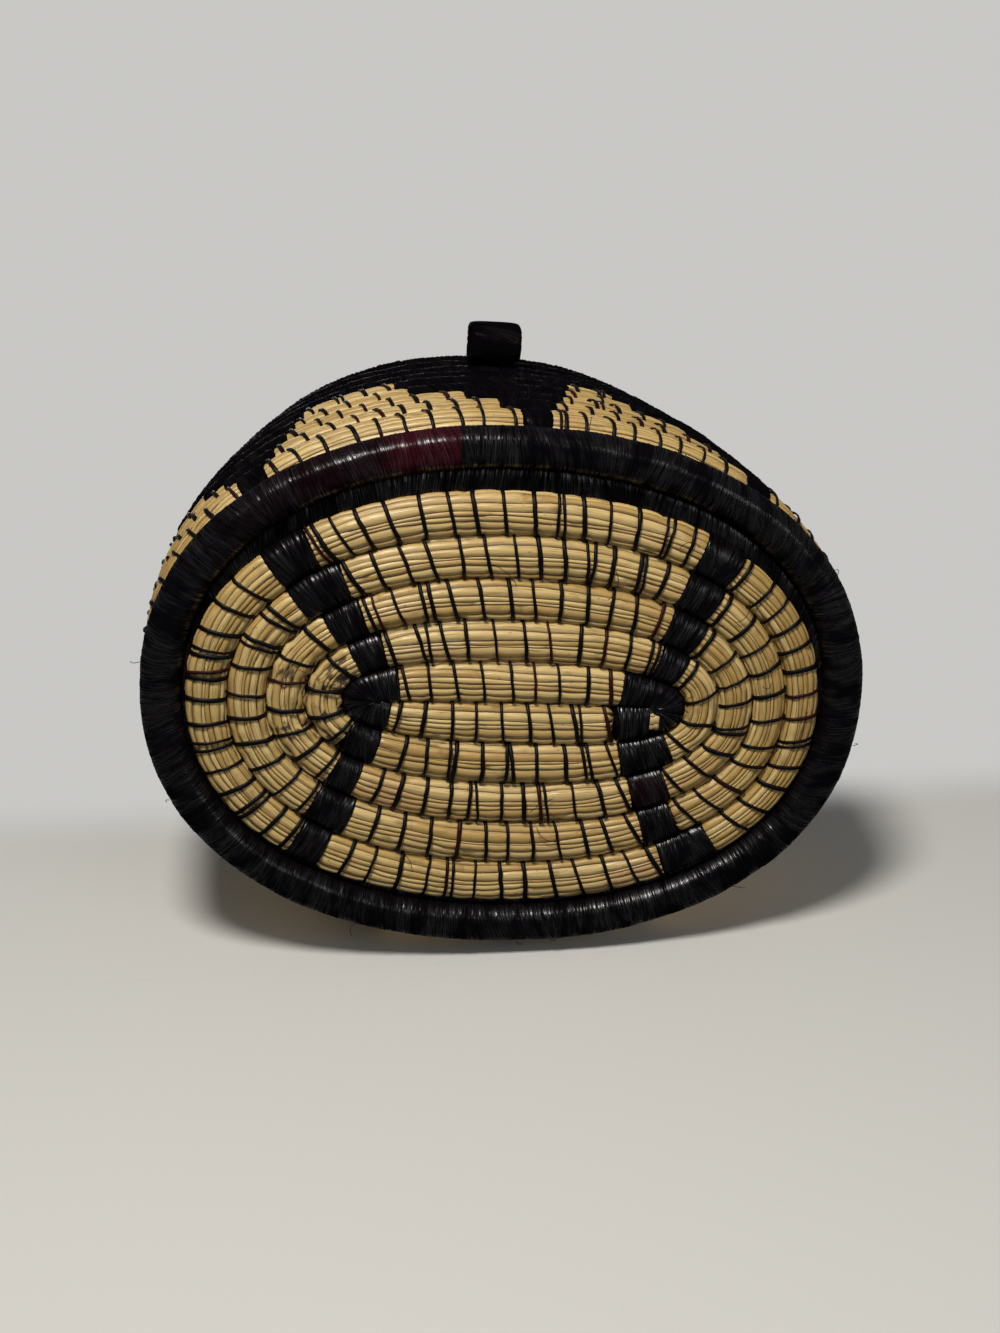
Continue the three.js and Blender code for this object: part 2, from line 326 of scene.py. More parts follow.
class Graph:
    def __init__(self, tree):
        self.tree = tree

    def node(self, kind, settings=None, sockets=None, output=0):
        made = self.tree.nodes.new(kind)
        for key, value in (settings or {}).items():
            setattr(made, key, value)
        for key, value in (sockets or {}).items():
            if isinstance(value, Wire):
                self.tree.links.new(value.socket, made.inputs[key])
            else:
                made.inputs[key].default_value = value
        if not made.outputs:
            return made
        return Wire(self, made.outputs[output])

    def attribute(self, name, output="Fac"):
        return self.node("ShaderNodeAttribute", {"attribute_name": name}, output=output)

    def vector(self, operation, a, b):
        key = "Scale" if operation == "SCALE" else 1
        return self.node("ShaderNodeVectorMath", {"operation": operation}, {0: a, key: b})

    def scaled(self, vector, scale):
        return self.vector("MULTIPLY", vector, scale)

    def plus(self, vector, other):
        return self.vector("ADD", vector, other)

    def noise(self, vector, detail=2.0, rough=0.5):
        sockets = {"Vector": vector, "Scale": 1.0, "Detail": detail, "Roughness": rough}
        return self.node("ShaderNodeTexNoise", {}, sockets)

    def blend(self, factor, a, b):
        return self.node("ShaderNodeMix", {"data_type": "RGBA"}, {0: factor, 6: a, 7: b}, 2)

    def join(self, x, y, z):
        return self.node("ShaderNodeCombineXYZ", {}, {0: x, 1: y, 2: z})

    def parts(self, vector):
        apart = self.tree.nodes.new("ShaderNodeSeparateXYZ")
        self.tree.links.new(vector.socket, apart.inputs[0])
        return [Wire(self, socket) for socket in apart.outputs]

    def bump(self, strength, distance, height):
        sockets = {"Strength": strength, "Distance": distance, "Height": height}
        return self.node("ShaderNodeBump", {}, sockets)


def newMaterial(name):
    material = bpy.data.materials.new(name)
    material.use_nodes = True
    material.node_tree.nodes.clear()
    return material, Graph(material.node_tree)


def surface(graph, sockets):
    shader = graph.node("ShaderNodeBsdfPrincipled", {}, sockets)
    graph.node("ShaderNodeOutputMaterial", {}, {"Surface": shader})


grass = {
    "pale": (0.61, 0.44, 0.175, 1),
    "gold": (0.42, 0.26, 0.07, 1),
    "rose": (0.42, 0.22, 0.10, 1),
    "brown": (0.17, 0.08, 0.027, 1),
    # painted shade: the colour of the grooves between stems, of crumpled creases and of stepped-in
    # stretches
    "groove_shade": (0.035, 0.015, 0.006, 1),
    "roughness": 0.33,
    "coat": 0.26,
    "coatRoughness": 0.28,
    "bump": 0.00012,
    "streaks": (90, 6200, 1),  # along a stem, round the coil, and none through it
    "lines": (120, 9000, 1),
    "patches": (170, 420, 1),
    "specks": (900, 1500, 1),
    "broad": (22, 60, 1),
}


def grassMaterial():
    material, g = newMaterial("dry_grass")
    run = g.attribute("run", "Vector")
    tone = g.attribute("tone")
    gap = g.attribute("gap")
    wear_and_crease_shade = g.attribute("wear_and_crease_shade")
    shift = g.join(0.0, 0.0, tone * 37.0)
    streak = g.noise(g.plus(g.scaled(run, grass["streaks"]), shift), 3.0, 0.65)
    line = g.noise(g.plus(g.scaled(run, grass["lines"]), shift), 1.0)
    patch = g.noise(g.plus(g.scaled(run, grass["patches"]), shift), 3.0)
    speck = g.noise(g.scaled(run, grass["specks"]), 1.0)
    broad = g.noise(g.scaled(run, grass["broad"]), 1.0)
    color = g.blend(tone.ramp(0.0, 1.0), grass["gold"], grass["pale"])
    color = g.blend(streak.ramp(0.38, 0.72) * 0.55, color, grass["gold"])
    color = g.blend(broad.ramp(0.58, 0.75) * 0.4, color, grass["rose"])
    color = g.blend(patch.ramp(0.58, 0.80) * 0.7, color, grass["brown"])
    color = g.blend(line.ramp(0.63, 0.72) * 0.8, color, grass["brown"])
    color = g.blend(speck.ramp(0.70, 0.80) * 0.7, color, grass["brown"])
    # Painted shade: dark specks where stems crumple stand partly for broken stems and partly for shade in
    # the creases; the grooves between stems and the stepped-in stretches are painted darker as shade
    color = g.blend((wear_and_crease_shade * speck).ramp(0.18, 0.36) * 0.9, color, grass["groove_shade"])
    color = g.blend(gap.ramp(0.80, 0.97) * 0.97, color, grass["groove_shade"])
    height = streak * 0.7 + patch * 0.5 - line.ramp(0.62, 0.74) * 0.8
    look = {
        "Base Color": color,
        "Roughness": grass["roughness"] + streak * 0.25,
        "Coat Weight": (1 - gap.ramp(0.5, 0.95)) * grass["coat"],
        "Coat Roughness": grass["coatRoughness"],
        "Normal": g.bump(0.8, grass["bump"], height),
    }
    surface(g, look)
    return material


fibre = {
    "black": (0.0024, 0.0019, 0.0026, 1),
    # the lighter colour of worn strands, real wear with no painted shade
    "wear_and_crease_shade": (0.006, 0.0045, 0.0055, 1),
    "maroon": (0.037, 0.0035, 0.0075, 1),
    # painted shade: the colour of the gaps between strands and of the valleys between plies
    "groove_shade": (0.001, 0.0008, 0.001, 1),
    "specular": 0.0,
    "coatRoughness": 0.29,
    "coatIor": 1.6,
    "bump": 0.00014,
    "hairs": (5200, 160, 1),  # across the strands, along them, and none through them
    "tufts": (1900, 110, 1),
    "sway": (700, 350, 1),
    "patches": (260, 120, 1),
}


def fibreMaterial(name, roughness, shine):
    material, g = newMaterial(name)
    run = g.attribute("run", "Vector")
    tone = g.attribute("tone")
    tint = g.attribute("tint")
    gap = g.attribute("gap")
    shift = g.join(tone * 3.0, tone * 11.0, tone * 23.0)
    hair = g.noise(g.plus(g.scaled(run, fibre["hairs"]), shift), 3.0, 0.7)
    tuft = g.noise(g.plus(g.scaled(run, fibre["tufts"]), shift), 2.0, 0.6)
    sway = g.noise(g.plus(g.scaled(run, fibre["sway"]), shift), 1.0)
    patch = g.noise(g.scaled(run, fibre["patches"]), 2.0)
    color = g.blend(tone.ramp(0.35, 1.0) * patch.ramp(0.3, 0.7), fibre["black"], fibre["wear_and_crease_shade"])
    color = g.blend(tint * hair.ramp(0.30, 0.60), color, fibre["maroon"])
    # painted shade in the gaps between strands and in the valleys between plies
    color = g.blend(gap.ramp(0.6, 1.0) * 0.7, color, fibre["groove_shade"])
    height = hair * 0.06 + tuft * 0.22 + sway * 1.5
    look = {
        "Base Color": color,
        "Roughness": roughness + hair * 0.2,
        "Specular IOR Level": fibre["specular"],
        "Coat Weight": hair.ramp(0.47, 0.56) * patch.ramp(0.35, 0.60, 0.1, 1.0) * shine,
        "Coat Roughness": fibre["coatRoughness"],
        "Coat IOR": fibre["coatIor"],
        "Normal": g.bump(1.0, fibre["bump"], height),
    }
    surface(g, look)
    return material


thread = {
    "black": (0.0028, 0.0022, 0.0024, 1),
    "red": (0.026, 0.004, 0.004, 1),
    "roughness": 0.34,
    "specular": 0.12,
    "bump": 0.00006,
    "hairs": (4200, 900, 4200),
}


def threadMaterial():
    material, g = newMaterial("stitch_thread")
    place = g.node("ShaderNodeTexCoord", {}, {}, "Object")
    tone = g.attribute("tone")
    hair = g.noise(g.scaled(place, thread["hairs"]), 2.0, 0.6)
    look = {
        "Base Color": g.blend(tone.ramp(0.88, 0.96) * 0.9, thread["black"], thread["red"]),
        "Roughness": thread["roughness"] + hair * 0.2,
        "Specular IOR Level": thread["specular"],
        "Normal": g.bump(0.6, thread["bump"], hair),
    }
    surface(g, look)
    return material


dryGrass = grassMaterial()
blackFibre = fibreMaterial("black_fibre", 0.36, 1.0)
dullFibre = fibreMaterial("dull_black_fibre", 0.55, 0.12)
stitchThread = threadMaterial()
print("materials made")


# Grass bundles: stems side by side round a coil, pinched where it is sewn
bundle = {
    "stems": 18,
    "squareness": 2.5,
    "fill": 1.05,  # over the solid's half width, so that rows close on each other
    "groove": 0.5,
    "flat": 0.84,  # share of a stem that is flat, with a narrow groove beside it
    "drift": 0.012,  # share of the way round
    "driftReach": 34,
    "lift": 0.16,
    "liftReach": 11,
    "sway": 0.34,
    "swayReach": 13,
    "widths": (0.6, 1.5),
    "pinch": 0.17,  # where a stitch binds it
    "pinchReach": 0.9,
    "pillow": 0.04,
    "pillowReach": 2.4,
    "sunk": 0.55,  # under a black wrapping
    "sunkReach": 0.8,
    "stepReach": 1.5,
    "crumple": 0.9,
    "crumpleReach": 1.5,
    "crumpleTop": 0.3,
    "crumpleRight": 0.35,  # the right end is smoother
    "tight": (0.022, 0.09),  # bend at which stems begin to crumple, and crumple fully
    "segment": (24, 80),  # length of a stem before the next one takes over
    "endDip": 0.3,
}


def within(s, spans, reach):  # 1 inside the spans, eased at their ends
    share = np.zeros(len(s))
    for start, stop in spans:
        share = np.maximum(share, ease((s - start) / reach) * ease((stop - s) / reach))
    return share


def bundleMesh(name, path, spacing, spans, steps, stitches, slants, seed):
    rng = np.random.default_rng(seed)
    s = np.linspace(0, path.length, int(path.length / spacing) + 1)
    centre, across, through = path.at(s)
    heading = np.gradient(centre, s, axis=0)
    bend = np.linalg.norm(np.gradient(heading, s, axis=0), axis=1)
    tight = ease((bend - bundle["tight"][0]) / (bundle["tight"][1] - bundle["tight"][0]))
    under = within(s, spans, bundle["sunkReach"])
    deep = within(s, steps, bundle["stepReach"])
    sunk = np.maximum(bundle["sunk"] * under, field["stepSink"] * deep)[:, None]
    half = np.array([np.median(np.linalg.norm(v, axis=1)) for v in (across, through)])
    section = Section(bundle["squareness"], half)
    stems = bundle["stems"]
    widths = rng.uniform(*bundle["widths"], stems)
    edges = np.concatenate([[0], np.cumsum(widths / widths.sum())])
    offsets = np.array([-1, -bundle["flat"], 0, bundle["flat"]])
    shares = (offsets + 1) / 2
    drift = wander(rng, s, bundle["driftReach"]) * bundle["drift"]
    sway = wander(rng, s, bundle["swayReach"], stems + 1) * bundle["sway"] / stems
    sway[:, [0, stems]] = 0
    bounds = edges[None, :] + sway
    q = bounds[:, :-1, None] + (bounds[:, 1:, None] - bounds[:, :-1, None]) * shares
    q = q.reshape(len(s), -1) + drift[:, None]
    t = np.tile(offsets, stems)[None, :]
    height = wander(rng, s, bundle["liftReach"], stems) * bundle["lift"]
    tight = tight * np.where(centre[:, 0] < 0, 1, bundle["crumpleRight"])
    buckled = wander(rng, s, bundle["crumpleReach"], stems) * tight[:, None]
    height += bundle["crumple"] * np.minimum(buckled, bundle["crumpleTop"])
    tone = np.zeros((len(s), stems))
    for k in range(stems):
        ends = np.cumsum(rng.uniform(*bundle["segment"], int(path.length / bundle["segment"][0]) + 2))
        tones = rng.uniform(0, 1, len(ends) + 1)
        index = np.searchsorted(ends, s)
        tone[:, k] = tones[index]
        near = np.abs(s - ends[np.clip(index, 0, len(ends) - 1)])
        near = np.minimum(near, np.abs(s - ends[np.clip(index - 1, 0, len(ends) - 1)]))
        height[:, k] -= bundle["endDip"] * np.exp(-(near**2))
    x, y = section.at(q)
    slant = np.interp(s, stitches, slants)[:, None]
    sewn = s[:, None] - slant * x * half[0]
    nearest = np.clip(np.searchsorted(stitches, sewn), 1, len(stitches) - 1)
    away = np.minimum(np.abs(sewn - stitches[nearest - 1]), np.abs(sewn - stitches[nearest]))
    delta = np.repeat(height, 4, axis=1) - bundle["groove"] * np.abs(t) ** 9
    delta = delta - bundle["pinch"] * np.exp(-((away / bundle["pinchReach"]) ** 2))
    delta = delta + bundle["pillow"] * ease(away / bundle["pillowReach"])
    swell = 1 + (delta - sunk) / half.mean()
    wide = (swell + (bundle["fill"] - 1) * (1 - under[:, None]))[..., None]
    rows = centre[:, None] + across[:, None] * x[..., None] * wide
    rows = rows + through[:, None] * (y * swell)[..., None]
    run = np.stack([s[:, None] + 0 * q, (q % 1) * section.around, 0 * q], -1) * 0.001
    # the buckling amount drives the painted crease shade; the groove depth and the stepped-in stretches
    # drive the painted groove shade
    wear_and_crease_shade = np.repeat(np.abs(buckled), 4, axis=1)
    hidden = np.abs(t) + deep[:, None]
    attributes = {"run": run, "tone": np.repeat(tone, 4, axis=1), "gap": hidden, "wear_and_crease_shade": wear_and_crease_shade}
    return meshFromRows(name, rows, path.closed, attributes)


# Black wrapping: strands of fibre laid close round a coil
wrapping = {
    "strand": (0.5, 1.15),
    "spacing": 0.2,
    "sides": 28,
    "squareness": 2.4,
    "ridge": 0.3,
    "stray": 0.13,
    "lump": 0.12,
    "lumpReach": 7,
    "lean": 0.12,
    "leanSway": 0.35,
    "leanReach": 9,
    "leanThrough": 0.4,
    "calm": 12,  # length over which the two ends of a closed round come together
    "edge": 0.55,
    "edgeReach": 0.6,
    "fill": 1.0,
}


def wrapRows(path, start, stop, lift, seed, shape, dent=None):
    shape = {**wrapping, **shape}
    rng = np.random.default_rng(seed)
    closed = path.closed and stop - start >= path.length - 1e-6
    count = max(6, int((stop - start) / shape["spacing"]))
    s = np.linspace(start, stop, count, endpoint=not closed)
    centre, across, through = path.at(np.clip(s, 0, path.length) if not path.closed else s % path.length)
    half = np.array([np.linalg.norm(v, axis=1).mean() for v in (across, through)])
    section = Section(shape["squareness"], half)
    q = np.broadcast_to(np.arange(shape["sides"]) / shape["sides"], (count, shape["sides"]))
    x, y = section.at(q)
    length = stop - start
    widths = rng.uniform(*shape["strand"], int(length / shape["strand"][0]) + 20)
    bounds = np.concatenate([[0], np.cumsum(widths)])
    last = np.searchsorted(bounds, length)
    bounds = bounds[: last + 1] * (length / bounds[last])
    calm = ease((s - start) / shape["calm"]) * ease((stop - s) / shape["calm"]) if closed else 1
    lean = shape["lean"] + shape["leanSway"] * wander(rng, s, shape["leanReach"]) * calm
    along = (s - start)[:, None] + lean[:, None] * (x * half[0] + shape["leanThrough"] * y * half[1])
    along = along % length if closed else np.clip(along, 0, length - 1e-6)
    index = np.clip(np.searchsorted(bounds, along, side="right") - 1, 0, last - 1)
    t = (along - bounds[index]) / (bounds[index + 1] - bounds[index]) * 2 - 1
    offset = rng.uniform(-1, 1, last)[index]
    swing = np.sin(2 * np.pi * q + rng.uniform(0, 6.28, last)[index])
    delta = lift + shape["ridge"] * (np.sqrt(np.clip(1 - t * t, 0, 1)) - 1)
    delta = delta + shape["stray"] * (offset + 0.7 * swing) / 2
    delta = delta + (wander(rng, s, shape["lumpReach"]) * shape["lump"] * calm)[:, None]
    if not closed:
        edge = np.minimum(s - start, stop - s)[:, None]
        delta = delta - (lift + shape["edge"]) * (1 - ease(edge / shape["edgeReach"]))
    swell = 1 + delta / half.mean()
    wide = (x * (swell + shape["fill"] - 1))[..., None]
    rows = centre[:, None] + across[:, None] * wide + through[:, None] * (y * swell)[..., None]
    if dent is not None:
        rows = dent(rows)
    run = np.stack([along, q * section.around, 0 * q], -1) * 0.001
    tone = rng.uniform(0, 1, last)[index]
    # gap marks the strand edges, which the fibre material paints darker as shade
    return rows, closed, {"run": run, "tone": tone, "gap": np.abs(t), "tint": 0 * t}


def joined(name, meshes):  # several skins in one mesh
    objects = [linked(name, mesh) for mesh in meshes]
    chosen = {"selected_editable_objects": objects, "selected_objects": objects}
    with bpy.context.temp_override(active_object=objects[0], **chosen):
        bpy.ops.object.join()
    mesh = objects[0].data
    bpy.data.objects.remove(objects[0])
    mesh.name = name
    return mesh


def wrapMesh(name, blocks, lift, seed, shape, dent=None):
    meshes = []
    for k, (path, start, stop, tint) in enumerate(blocks):
        rows, closed, attributes = wrapRows(path, start, stop, lift, seed + k, shape, dent)
        attributes["tint"] += tint
        meshes.append(meshFromRows(name, rows, closed, attributes))
    return meshes[0] if len(meshes) == 1 else joined(name, meshes)


# Stitches: one loop of strand round the coil for each, set out by a node tree
stitchLook = {
    "Segments": 18,
    "Loop Radius": 0.004,
    "Squareness": 2.5,
    "Strand Width": 0.00082,
    "Strand Thickness": 0.00042,
    "Least Width": 0.75,
    "Most Width": 1.35,
    "Wave": 0.0007,
    "Wave Scale": 330.0,
    "Seed": 4,
}


def newTree(name, inputs):
    tree = bpy.data.node_groups.new(name, "GeometryNodeTree")
    tree.interface.new_socket("Geometry", in_out="INPUT", socket_type="NodeSocketGeometry")
    for label, value in inputs.items():
        kind = "NodeSocketInt" if isinstance(value, int) else "NodeSocketFloat"
        tree.interface.new_socket(label, in_out="INPUT", socket_type=kind).default_value = value
    tree.interface.new_socket("Material", in_out="INPUT", socket_type="NodeSocketMaterial")
    tree.interface.new_socket("Geometry", in_out="OUTPUT", socket_type="NodeSocketGeometry")
    graph = Graph(tree)
    source = tree.nodes.new("NodeGroupInput")
    given = {socket.name: Wire(graph, socket) for socket in source.outputs if socket.name}
    return tree, graph, given


def placed(g, given, shape, widthScale):  # the shape on each point by its own turn and size
    turn = g.node("GeometryNodeInputNamedAttribute", {"data_type": "FLOAT_VECTOR"}, {"Name": "turn"})
    size = g.node("GeometryNodeInputNamedAttribute", {"data_type": "FLOAT_VECTOR"}, {"Name": "size"})
    size = g.scaled(size, g.join(1.0, 1.0, widthScale))
    sockets = {
        "Points": given["Geometry"],
        "Instance": shape,
        "Rotation": g.node("FunctionNodeEulerToRotation", {}, {0: turn}),
        "Scale": size,
    }
    there = g.node("GeometryNodeInstanceOnPoints", {}, sockets)
    solid = g.node("GeometryNodeRealizeInstances", {}, {"Geometry": there})
    chanced = g.node("ShaderNodeTexNoise", {}, {"Scale": given["Wave Scale"], "Detail": 1.0}, "Color")
    middled = g.vector("SUBTRACT", chanced, (0.5, 0.5, 0.5))
    waved = g.vector("SCALE", middled, given["Wave"])
    solid = g.node("GeometryNodeSetPosition", {}, {"Geometry": solid, "Offset": waved})
    smooth = g.node("GeometryNodeSetShadeSmooth", {}, {"Geometry": solid})
    dressed = g.node("GeometryNodeSetMaterial", {}, {"Geometry": smooth, "Material": given["Material"]})
    g.node("NodeGroupOutput", {}, {"Geometry": dressed})


def stitchTree():
    tree, g, given = newTree("stitch_loops", stitchLook)
    sockets = {"Resolution": given["Segments"], "Radius": 1.0}
    loop = g.node("GeometryNodeCurvePrimitiveCircle", {"mode": "RADIUS"}, sockets)
    place = g.node("GeometryNodeInputPosition")
    x, y, _ = g.parts(place)
    power = given["Squareness"]
    full = x.sum("ABSOLUTE", x) ** power + y.sum("ABSOLUTE", y) ** power
    reach = (full ** (-1.0 / power)) * given["Loop Radius"]
    squared = g.vector("SCALE", place, reach)
    loop = g.node("GeometryNodeSetPosition", {}, {"Geometry": loop, "Position": squared})
    sockets = {"Resolution": 6, "Radius": 0.5}
    strand = g.node("GeometryNodeCurvePrimitiveCircle", {"mode": "RADIUS"}, sockets)
    flat = g.join(given["Strand Thickness"], given["Strand Width"], 1.0)
    strand = g.node("GeometryNodeTransform", {}, {"Geometry": strand, "Scale": flat})
    shape = g.node("GeometryNodeCurveToMesh", {}, {"Curve": loop, "Profile Curve": strand})
    sockets = {2: given["Least Width"], 3: given["Most Width"], "Seed": given["Seed"]}
    placed(g, given, shape, g.node("FunctionNodeRandomValue", {"data_type": "FLOAT"}, sockets, 1))
    return tree


def grown(name, tree, points, turns, sizes, tones, values, material):  # a tree's result as a mesh
    mesh = bpy.data.meshes.new(name)
    mesh.vertices.add(len(points))
    mesh.vertices.foreach_set("co", (points * 0.001).ravel().astype(np.float32))
    setAttributes(mesh, {"turn": turns, "size": sizes, "tone": tones})
    obj = linked(name, mesh)
    modifier = obj.modifiers.new("grow", "NODES")
    modifier.node_group = tree
    for item in tree.interface.items_tree:
        if item.item_type == "SOCKET" and item.in_out == "INPUT" and item.name in values:
            modifier[item.identifier] = values[item.name]
        if item.item_type == "SOCKET" and item.name == "Material":
            modifier[item.identifier] = material
    graph = bpy.context.evaluated_depsgraph_get()
    result = obj.evaluated_get(graph)
    kept = bpy.data.meshes.new_from_object(result, preserve_all_data_layers=True, depsgraph=graph)
    bpy.data.objects.remove(obj)
    bpy.data.meshes.remove(mesh)
    kept.name = name
    return kept


stitchLoops = stitchTree()


sewing = {
    "step": (4.5, 6.3),
    "first": (1, 4),
    "clear": 0.7,  # of a wrapped span
    "next": 1.1,  # after a wrapped span
    "front": (-0.13, 0.0018),  # lean at the middle, and its change for each millimetre to the right
    "back": (-0.09, -0.0055),
    "leanReach": 40,
    "leanJitter": 0.07,
    "turnOver": 12,  # width of the strip in which the front's lean turns into the back's
    "double": 0.07,
    "doubleStep": (1.1, 1.7),
    "reach": 1.075,  # of the coil's half width
}


def sewingPlaces(path, spans, seed):  # along a coil, off its wrapped spans
    rng = np.random.default_rng(seed)
    clear = sewing["clear"]
    places = []
    s = rng.uniform(*sewing["first"])
    while s < path.length - 1:
        inside = [span for span in spans if span[0] - clear < s < span[1] + clear]
        if inside:
            s = inside[0][1] + sewing["next"]
            continue
        places.append(s)
        if rng.uniform() < sewing["double"]:
            places.append(s + rng.uniform(*sewing["doubleStep"]))
        s += rng.uniform(*sewing["step"])
    return np.array(places)


def stitchMesh(name, path, places, slants, seed):
    rng = np.random.default_rng(seed)
    centre, across, through = path.at(places)
    wide, deep = np.linalg.norm(across, axis=1), np.linalg.norm(through, axis=1)
    x, y = unit(across), unit(through)
    z = unit(np.cross(x, y))
    x = np.cross(y, z)
    turns = []
    for k in range(len(places)):
        frameHere = Matrix((x[k], y[k], z[k])).transposed()
        leaning = Matrix.Rotation(-math.atan(slants[k]), 3, "Y")
        turns.append((frameHere @ leaning).to_euler())
    stretch = np.sqrt(1 + slants**2)
    radius = stitchLook["Loop Radius"] * 1000
    sizes = np.stack([wide * stretch, deep, np.full(len(places), radius)], -1) / radius
    sizes[:, :2] *= sewing["reach"]
    tones = rng.uniform(0, 1, len(places))
    return grown(name, stitchLoops, centre, np.array(turns), sizes, tones, stitchLook, stitchThread)


def slantsFor(path, places, seed):
    rng = np.random.default_rng(seed)
    centre = path.at(places)[0]
    front = ease((form["centreY"] + sewing["turnOver"] / 2 - centre[:, 1]) / sewing["turnOver"])
    x = np.clip(centre[:, 0], -sewing["leanReach"], sewing["leanReach"])
    lean = front * (sewing["front"][0] + sewing["front"][1] * x)
    lean += (1 - front) * (sewing["back"][0] + sewing["back"][1] * x)
    return lean + sewing["leanJitter"] * rng.uniform(-1, 1, len(places))


def dressCoil(prefix, node, body, path, spans, steps, spacing, blocks, shape, fibreUsed, seed):
    places = sewingPlaces(path, spans, seed)
    slants = slantsFor(path, places, seed + 1)
    stems = bundleMesh(f"{prefix}_stems", path, spacing, spans, steps, places, slants, seed + 2)
    piece(f"{prefix}_stems", stems, dryGrass, body, [node])
    wraps = wrapMesh(f"{prefix}_wraps", blocks, field["lift"], seed + 3, shape)
    piece(f"{prefix}_wraps", wraps, fibreUsed, body, [node])
    stitches = stitchMesh(f"{prefix}_stitches", path, places, slants, seed + 40)
    piece(f"{prefix}_stitches", stitches, stitchThread, body, [node])


# Patterned field of the base or the lid: an X of black blocks in natural rounds
field = {
    "turns": 5,
    "stepAngle": 56.5,
    "share": 0.014,  # of a turn in which the coil steps out, under the blocks of one arm
    "stepSink": 2.2,
    "lift": 0.38,
    "wrap": {"fill": 1.04, "ridge": 0.14},
    "brown": 0.18,  # share of dark red fibre in one block behind on the right
    "brownRound": 2,
    "leftFront": {"inner": (22.2, 25.5, 30.0, 33.9, 40.8), "outer": (0, 32.1, 37.1, 43.8, 49.0)},
    "leftBack": {"inner": (24.0, 26.1, 29.9, 31.2, 36.2), "outer": (0, 33.4, 35.8, 39.5, 42.7)},
    "rightFront": {"inner": (23.2, 30.4, 31.7, 34.0, 37.0), "outer": (0, 36.2, 39.1, 41.8, 45.2)},
    "rightBack": {"inner": (22.8, 24.0, 27.1, 30.0, 35.0), "outer": (0, 34.8, 35.1, 37.4, 45.7)},
}


def armPlace(path, k, arm, edge, scale, first, last):
    x = field[arm][edge][k] * scale * (-1 if arm.startswith("left") else 1)
    return path.spot(x, -1 if arm.endswith("Front") else 1, first, last)


def fieldSpans(path, scale):  # what is wrapped along the coil itself, in order
    turns = field["turns"]

    def spot(turn, arm, edge):
        first = turn + 0.6 if arm == "rightBack" and edge == "outer" else turn
        last = turn + 0.4 if arm == "rightBack" and edge == "inner" else turn + 1
        return armPlace(path, turn, arm, edge, scale, first, last)

    spans = [(0, spot(0, "rightBack", "inner"))]
    spans.append((spot(0, "leftBack", "inner"), spot(0, "leftFront", "inner")))
    spans.append((spot(0, "rightFront", "inner"), spot(1, "rightBack", "inner")))
    for turn in range(1, turns):
        spans.append((spot(turn, "leftBack", "inner"), spot(turn, "leftBack", "outer")))
        spans.append((spot(turn, "leftFront", "outer"), spot(turn, "leftFront", "inner")))
        spans.append((spot(turn, "rightFront", "inner"), spot(turn, "rightFront", "outer")))
        if turn < turns - 1:
            spans.append((spot(turn, "rightBack", "outer"), spot(turn + 1, "rightBack", "inner")))
    spans.append((spot(turns - 1, "rightBack", "outer"), path.length))
    return spans


def stepSpans(path, share):  # stretches in which a coil steps out
    spans = []
    for turn in range(int(path.turn[-1]) + 2):
        start, stop = np.interp([turn - share, turn], path.turn, path.s)
        spans.append((start - 1, stop + 1))
    return spans


def fieldBlocks(paths, scale):  # a path, a span along it and a share of red for each block
    blocks = []
    for k, path in enumerate(paths):

        def spot(arm, edge):
            return armPlace(path, k, arm, edge, scale, 0, 1)

        if k == 0:
            blocks.append((path, spot("leftBack", "inner"), spot("leftFront", "inner"), 0))
            end = spot("rightBack", "inner") + path.length
            blocks.append((path, spot("rightFront", "inner"), end, 0))
            continue
        brown = field["brown"] if k == field["brownRound"] else 0
        blocks.append((path, spot("leftBack", "inner"), spot("leftBack", "outer"), 0))
        blocks.append((path, spot("leftFront", "outer"), spot("leftFront", "inner"), 0))
        blocks.append((path, spot("rightFront", "inner"), spot("rightFront", "outer"), 0))
        blocks.append((path, spot("rightBack", "outer"), spot("rightBack", "inner"), brown))
    return blocks


# A short stretch of grass left bare in the black tip, seen only on the base
bare = {
    "from": 29.8,
    "to": 31.7,
    "rows": 6,
    "y": 7.8,
    "wide": 3.0,
    "deep": 4.15,
    "squareness": 2.6,
    "stems": 13,
    "flat": 0.8,
    "groove": 0.2,
    "jitter": 0.01,
    "tones": (0.4, 1),
}


def bareMesh(level, seed):
    rng = np.random.default_rng(seed)
    along = np.linspace(bare["from"], bare["to"], bare["rows"])
    section = Section(bare["squareness"], np.array([bare["wide"], bare["deep"]]))
    offsets = np.array([-1, -bare["flat"], 0, bare["flat"]])
    q = ((np.arange(bare["stems"])[:, None] + (offsets + 1) / 2) / bare["stems"]).ravel()[None, :]
    x, y = section.at(q + bare["jitter"] * rng.uniform(-1, 1, (len(along), 1)))
    t = np.tile(offsets, bare["stems"])[None, :]
    swell = 1 - bare["groove"] * np.abs(t) ** 5 / bare["deep"]
    place = along[:, None] + 0 * x
    rows = [place, bare["y"] + bare["wide"] * x * swell, level - bare["deep"] * y * swell]
    rows = np.stack(rows, -1)
    run = np.stack([place, q * section.around + 0 * x, 0 * x], -1) * 0.001
    tone = np.repeat(rng.uniform(*bare["tones"], bare["stems"]), 4)[None, :] + 0 * x
    attributes = {"run": run, "tone": tone, "gap": np.abs(t) + 0 * x, "wear_and_crease_shade": 0 * x}
    return meshFromRows("base_bare_patch", rows, False, attributes)


